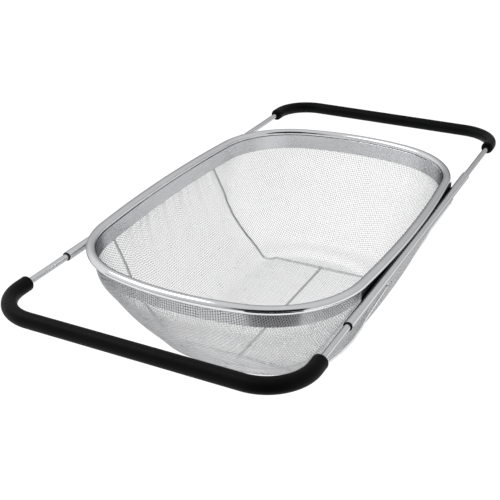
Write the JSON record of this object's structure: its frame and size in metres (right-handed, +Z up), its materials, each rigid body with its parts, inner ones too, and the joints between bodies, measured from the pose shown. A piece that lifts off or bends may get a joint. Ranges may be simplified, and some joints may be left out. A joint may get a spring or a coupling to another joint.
{
  "type": "over-the-sink mesh colander",
  "caption": "Oblong fine wire mesh colander with a rolled steel rim, wire feet and U-shaped handles that slide out on side tubes to span a sink.",
  "frame": {"origin": "middle of the basket, on the plane the four wire feet stand on", "axes": "+X along the basket's length towards the back handle, +Y to the left, +Z up out of the basket's mouth"},
  "size_m": [0.5426, 0.252, 0.1134],
  "materials": {
    "rim_steel": "polished stainless sheet",
    "band_steel": "smooth satin stainless sheet",
    "mesh_steel": "woven stainless wire",
    "strip_steel": "dull dark steel sheet",
    "tube_steel": "bright drawn stainless tube",
    "bush_plastic": "black moulded plastic",
    "rod_steel": "polished stainless rod",
    "grip_rubber": "matte black soft rubber",
    "wire_steel": "bright stainless wire"
  },
  "bodies": {
    "basket": {"rim_bead": "rim_steel", "inner_band": "band_steel", "mesh_basket": "mesh_steel", "side_strip_left": "strip_steel", "side_strip_right": "strip_steel", "guide_tube_left": "tube_steel", "guide_tube_right": "tube_steel", "bush_front_left": "bush_plastic", "bush_front_right": "bush_plastic", "bush_back_left": "bush_plastic", "bush_back_right": "bush_plastic", "hoop_front": "wire_steel", "hoop_back": "wire_steel", "side_rail_left": "wire_steel", "side_rail_right": "wire_steel", "floor_tie": "wire_steel"},
    "front_handle": {"handle_rod_front": "rod_steel", "grip_front": "grip_rubber"},
    "back_handle": {"handle_rod_back": "rod_steel", "grip_back": "grip_rubber"}
  },
  "joints": [
    {"name": "front_handle_slide", "type": "slide", "parent": "basket", "child": "front_handle", "axis": [-1, 0, 0], "range_m": [-0.0478, 0.0473]},
    {"name": "back_handle_slide", "type": "slide", "parent": "basket", "child": "back_handle", "axis": [1, 0, 0], "range_m": [-0.0824, 0.0127]}
  ]
}
